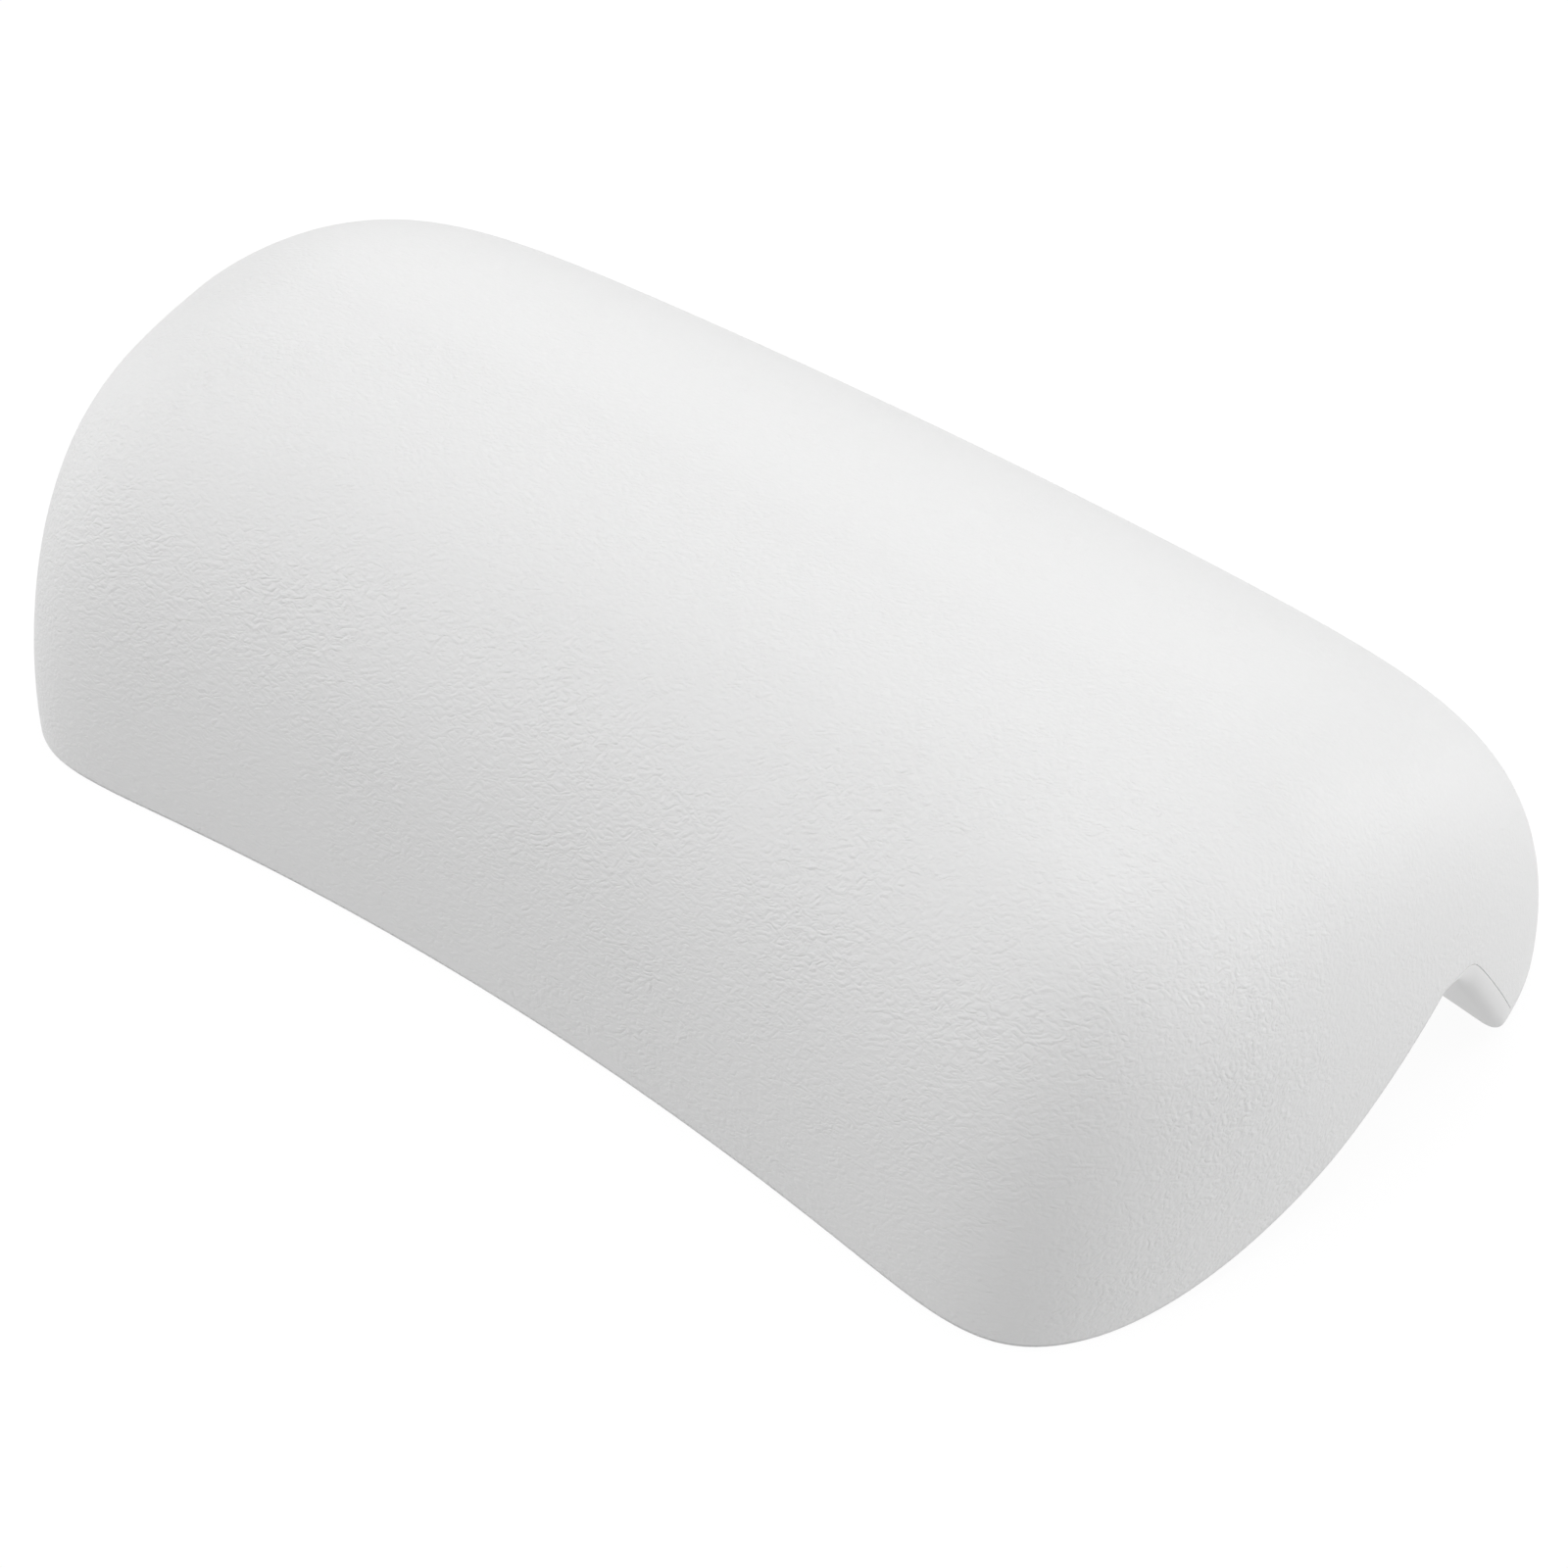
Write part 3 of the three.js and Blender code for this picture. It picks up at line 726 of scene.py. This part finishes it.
def make_foam():
    """The foam: the loaf drawn in by the skins, closed by its own underside, less the room that the pockets,
    the plate and the sockets take."""
    columns, rows = FOAM_GRID
    draw = SKIN + GAP
    level = above(draw)
    top = crown_surface(columns, rows, level, draw)
    ring, along_edge, across_edge = square_directions(columns, rows)
    low = trimmed(along_edge, across_edge, level, draw)
    run, across, _ = loaf(along_edge, across_edge, low * ring, draw)
    floor = bend(run, across, level(across))
    faces = grid_faces(rows, columns)
    foam = new_piece("foam_filling", [(top, faces), (floor, faces[:, ::-1])])
    rooms = [slab(GAP)]
    for side in (-1, 1):
        rooms.append(round_bar(POCKET_RADIUS + draw, POCKET_MOUTH, POCKET_DEPTH + draw, side))
        rooms.append(round_bar(CLIP_RADIUS + GAP, 0, SOCKET_HIGH + GAP, side))
    cutters = [new_piece("room", [room], False) for room in rooms]
    for cutter in cutters:
        cut = foam.modifiers.new("room", "BOOLEAN")
        cut.operation = "DIFFERENCE"
        cut.solver = "EXACT"
        cut.object = cutter
    shaped = bpy.data.meshes.new_from_object(foam.evaluated_get(bpy.context.evaluated_depsgraph_get()))
    foam.modifiers.clear()
    foam.data = shaped
    for cutter in cutters:
        bpy.data.objects.remove(cutter)
    return foam


# Finishes

def add(nodes, kind, **values):
    """A node with its settings and the values of its unlinked inputs."""
    node = nodes.new(kind)
    for key, value in values.items():
        if key in node.inputs:
            node.inputs[key].default_value = value
        else:
            setattr(node, key, value)
    return node


def ranged(tree, value, low, high, span=(0.0, 1.0), kind="LINEAR"):
    """A value that runs over a span, made to run from low to high."""
    node = add(tree.nodes, "ShaderNodeMapRange", interpolation_type=kind)
    for key, number in zip(("From Min", "From Max", "To Min", "To Max"), (*span, low, high)):
        node.inputs[key].default_value = number
    tree.links.new(value, node.inputs["Value"])
    return node.outputs["Result"]


def new_material(name):
    """A material, its node tree and its shader."""
    material = bpy.data.materials.new(name)
    material.use_nodes = True
    return material, material.node_tree, material.node_tree.nodes["Principled BSDF"]


def crinkle_group():
    """Fine creases as on crinkled leather: noise at two sizes, folded at its middle value into sharp
    valleys, over places that a coarser noise pushes about. A broad noise lets the creases come and go."""
    group = bpy.data.node_groups.new("skin_creases", "ShaderNodeTree")
    group.interface.new_socket("Vector", in_out="INPUT", socket_type="NodeSocketVector")
    for name, way in (("Scale", "INPUT"), ("Height", "OUTPUT"), ("Patch", "OUTPUT")):
        group.interface.new_socket(name, in_out=way, socket_type="NodeSocketFloat")
    nodes, link = group.nodes, group.links.new
    start, end = nodes.new("NodeGroupInput"), nodes.new("NodeGroupOutput")

    def scaled(share):
        """The group's scale times a share."""
        times = add(nodes, "ShaderNodeMath", operation="MULTIPLY")
        times.inputs[1].default_value = share
        link(start.outputs["Scale"], times.inputs[0])
        return times.outputs[0]

    push = add(nodes, "ShaderNodeTexNoise", Detail=1.0)
    link(start.outputs["Vector"], push.inputs["Vector"])
    link(scaled(CREASE_PUSH_SCALE), push.inputs["Scale"])
    centred = add(nodes, "ShaderNodeVectorMath", operation="SUBTRACT")
    centred.inputs[1].default_value = (0.5, 0.5, 0.5)
    link(push.outputs["Color"], centred.inputs[0])
    pushed = add(nodes, "ShaderNodeVectorMath", operation="MULTIPLY_ADD")
    pushed.inputs[1].default_value = (CREASE_PUSH, CREASE_PUSH, CREASE_PUSH)
    link(centred.outputs[0], pushed.inputs[0])
    link(start.outputs["Vector"], pushed.inputs[2])

    def folded(share):
        """Noise at a share of the scale, as its distance from the middle value."""
        ripple = add(nodes, "ShaderNodeTexNoise", Detail=0.0)
        link(pushed.outputs[0], ripple.inputs["Vector"])
        link(scaled(share), ripple.inputs["Scale"])
        off = add(nodes, "ShaderNodeMath", operation="SUBTRACT")
        off.inputs[1].default_value = 0.5
        link(ripple.outputs["Fac"], off.inputs[0])
        fold = add(nodes, "ShaderNodeMath", operation="ABSOLUTE")
        link(off.outputs[0], fold.inputs[0])
        return fold.outputs[0]

    coarse, fine = [folded(share) for share in CREASE_SCALES]
    both = add(nodes, "ShaderNodeMix", Factor=CREASE_FINE)
    link(coarse, both.inputs["A"])
    link(fine, both.inputs["B"])
    patch = add(nodes, "ShaderNodeTexNoise", Scale=PATCH_SCALE, Detail=2.0)
    link(start.outputs["Vector"], patch.inputs["Vector"])
    height = add(nodes, "ShaderNodeMix", A=CREASE_REST)
    link(ranged(group, patch.outputs["Fac"], *PATCH_KEEPS, PATCH_SPAN), height.inputs["Factor"])
    link(both.outputs["Result"], height.inputs["B"])
    link(height.outputs["Result"], end.inputs["Height"])
    link(patch.outputs["Fac"], end.inputs["Patch"])
    return group


CREASES = crinkle_group()


def moulded(name, colour, rough, scale, depth, valley_shade=0.03, run=1.0, calm=1.0):
    """A moulded skin: its roughness drifts a little over large patches, and creases raise it. Their valleys
    carry painted shade, a colour a little darker than the ridges. They can be longer along a line that climbs
    to the right, and calmer at the rear."""
    material, tree, shader = new_material(name)
    nodes, link = tree.nodes, tree.links.new
    place = nodes.new("ShaderNodeTexCoord").outputs["Object"]
    mapping = add(nodes, "ShaderNodeMapping", vector_type="TEXTURE", Rotation=CREASE_TURN)
    mapping.inputs["Scale"].default_value = (run, 1.0, 1.0)
    link(place, mapping.inputs["Vector"])
    creases = add(nodes, "ShaderNodeGroup", node_tree=CREASES, Scale=scale)
    link(mapping.outputs["Vector"], creases.inputs["Vector"])
    # painted shade: the base colour grows darker towards the creases' valleys, by the valley shade share
    valley_shading = add(nodes, "ShaderNodeMix", data_type="RGBA")
    dark, light = valley_shading.inputs[6], valley_shading.inputs[7]
    dark.default_value = (*[part * (1 - valley_shade) for part in colour], 1)
    light.default_value = (*colour, 1)
    link(creases.outputs["Height"], valley_shading.inputs["Factor"])
    link(valley_shading.outputs[2], shader.inputs["Base Color"])
    dull = ranged(tree, creases.outputs["Patch"], rough + ROUGH_DRIFT, rough - ROUGH_DRIFT)
    link(dull, shader.inputs["Roughness"])
    apart = nodes.new("ShaderNodeSeparateXYZ")
    link(place, apart.inputs[0])
    raised = add(nodes, "ShaderNodeMath", operation="MULTIPLY")
    link(creases.outputs["Height"], raised.inputs[0])
    link(ranged(tree, apart.outputs["Y"], 1.0, calm, CREASE_FADE, "SMOOTHSTEP"), raised.inputs[1])
    bump = add(nodes, "ShaderNodeBump", Strength=1.0, Distance=depth)
    link(raised.outputs[0], bump.inputs["Height"])
    link(bump.outputs["Normal"], shader.inputs["Normal"])
    return material


def clear_cup():
    """Clear soft plastic: light passes through it, and slow waves and a faint haze break its gloss."""
    material, tree, shader = new_material("clear_cup_plastic")
    nodes, link = tree.nodes, tree.links.new
    shader.inputs["Base Color"].default_value = (0.86, 0.91, 0.91, 1)
    shader.inputs["Transmission Weight"].default_value = 0.75
    shader.inputs["IOR"].default_value = 1.5
    haze = add(nodes, "ShaderNodeTexNoise", Scale=HAZE_SCALE, Detail=3.0)
    link(nodes.new("ShaderNodeTexCoord").outputs["Object"], haze.inputs["Vector"])
    link(ranged(tree, haze.outputs["Fac"], *HAZE_ROUGH), shader.inputs["Roughness"])
    bump = add(nodes, "ShaderNodeBump", Strength=0.4, Distance=0.0003)
    link(haze.outputs["Fac"], bump.inputs["Height"])
    link(bump.outputs["Normal"], shader.inputs["Normal"])
    return material


def dress(piece, body, material, node):
    """Puts a finish on a piece, rides it on its body and lets it stand for its solid."""
    piece.data.materials.clear()
    piece.data.materials.append(material)
    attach(piece, body)
    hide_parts(node)


cover_finish = moulded("white_grained_skin", (0.8, 0.8, 0.8), rough=0.5, scale=780.0, depth=0.00064,
                       run=1.5, calm=0.55)
base_finish = moulded("white_smooth_skin", (0.78, 0.78, 0.78), rough=0.52, scale=700.0, depth=0.00003)
foam_finish = moulded("cream_foam", (0.82, 0.76, 0.6), rough=0.9, scale=1000.0, depth=0.0004, valley_shade=0.15)
plate_finish = moulded("grey_moulded_plate", (0.55, 0.56, 0.58), rough=0.45, scale=1500.0, depth=0.00002)
socket_finish = moulded("white_moulded_socket", (0.75, 0.75, 0.75), rough=0.35, scale=1800.0, depth=0.00001)
cup_finish = clear_cup()

cover = make_cover()
base = make_base()
foam = make_foam()
dress(cover, "pillow", cover_finish, "grained_cover")
dress(base, "pillow", base_finish, "base_skin")
dress(foam, "pillow", foam_finish, "foam_core")
for side, hand in ((-1, "left"), (1, "right")):
    socket = make_socket(side, f"socket_{hand}_turned")
    dress(socket, "pillow", socket_finish, f"cup_socket_{hand}")
    cup = make_cup(side, f"cup_{hand}_moulded")
    dress(cup, f"{hand}_cup", cup_finish, f"suction_cup_{hand}")
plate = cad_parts["anchor_plate"]
plate.data.materials.clear()
plate.data.materials.append(plate_finish)


# Stage

def mixed(tree, factor, first, second):
    """A shader that goes from the first to the second by a factor."""
    node = tree.nodes.new("ShaderNodeMixShader")
    for source, slot in zip((factor, first, second), node.inputs):
        tree.links.new(source, slot)
    return node.outputs[0]


def floor_finish():
    """The floor glows evenly, so its light reaches into the channel. The camera sees it white from above,
    with a faint shadow near the pillow, and looks through it from below."""
    material, tree, shader = new_material("pale_floor")
    nodes, link = tree.nodes, tree.links.new
    shader.inputs["Base Color"].default_value = (0.9, 0.9, 0.9, 1)
    shader.inputs["Roughness"].default_value = 0.9
    white = add(nodes, "ShaderNodeEmission", Strength=FLOOR_WHITE)
    glow = add(nodes, "ShaderNodeEmission", Strength=FLOOR_GLOW)
    away = add(nodes, "ShaderNodeVectorMath", operation="LENGTH")
    link(nodes.new("ShaderNodeTexCoord").outputs["Object"], away.inputs[0])
    share = ranged(tree, away.outputs["Value"], FLOOR_LIT, 1.0, FLOOR_FADE)
    shaded = mixed(tree, share, shader.outputs[0], white.outputs[0])
    by_camera = nodes.new("ShaderNodeLightPath").outputs["Is Camera Ray"]
    seen = mixed(tree, by_camera, glow.outputs[0], shaded)
    from_below = nodes.new("ShaderNodeNewGeometry").outputs["Backfacing"]
    clear = nodes.new("ShaderNodeBsdfTransparent").outputs[0]
    link(mixed(tree, from_below, seen, clear), nodes["Material Output"].inputs["Surface"])
    return material


def make_floor():
    """A wide flat sheet under the pillow."""
    steps = np.linspace(-FLOOR_HALF, FLOOR_HALF, FLOOR_POINTS)
    x, y = np.meshgrid(steps, steps)
    sheet = np.stack([x, y, np.full(x.shape, FLOOR_LOW)], -1)
    floor = new_piece("studio_floor", [(sheet, grid_faces(FLOOR_POINTS, FLOOR_POINTS))])
    floor.data.flip_normals()  # a flat sheet's outside is taken to be below
    floor.data.materials.append(floor_finish())


def make_world():
    """A dim room that the camera sees as white as the far floor."""
    world = bpy.data.worlds.new("plain_room")
    world.use_nodes = True
    tree = world.node_tree
    room = tree.nodes["Background"]
    room.inputs["Color"].default_value = (1, 1, 1, 1)
    by_camera = tree.nodes.new("ShaderNodeLightPath").outputs["Is Camera Ray"]
    tree.links.new(ranged(tree, by_camera, ROOM_LIGHT, FLOOR_WHITE), room.inputs["Strength"])
    bpy.context.scene.world = world


def direction(azimuth, elevation):
    """The way from the pillow towards an azimuth, which is 0 at the head side, and an elevation in
    degrees."""
    azimuth, elevation = math.radians(azimuth), math.radians(elevation)
    flat = math.cos(elevation)
    return Vector((math.sin(azimuth) * flat, -math.cos(azimuth) * flat, math.sin(elevation)))


def place_facing(name, data, target, way, distance):
    """An object that stands a distance from a target, on a way from it, and faces it."""
    holder = bpy.data.objects.new(name, data)
    bpy.context.scene.collection.objects.link(holder)
    holder.location = Vector(target) + way * distance
    holder.rotation_euler = (-way).to_track_quat("-Z", "Y").to_euler()
    return holder


def soft_light(name, azimuth, elevation, watts):
    """A broad square light that faces the pillow."""
    light = bpy.data.lights.new(name, "AREA")
    light.size = LIGHT_SIZE
    light.energy = watts
    place_facing(name, light, (0.0, 0.0, 0.0), direction(azimuth, elevation), LIGHT_AWAY)


def make_camera():
    """The camera at the photograph's angle: a distance back from a point near the pillow's middle."""
    data = bpy.data.cameras.new("photo_camera")
    data.sensor_width = CAMERA_SENSOR
    data.lens = CAMERA_LENS
    data.shift_x, data.shift_y = CAMERA_SHIFT
    way = direction(*CAMERA_VIEW)
    bpy.context.scene.camera = place_facing("photo_camera", data, CAMERA_TARGET, way, CAMERA_AWAY)


make_floor()
make_camera()
make_world()
for name, setting in SOFT_LIGHTS.items():
    soft_light(name, *setting)
bpy.context.scene.view_settings.view_transform = "Standard"
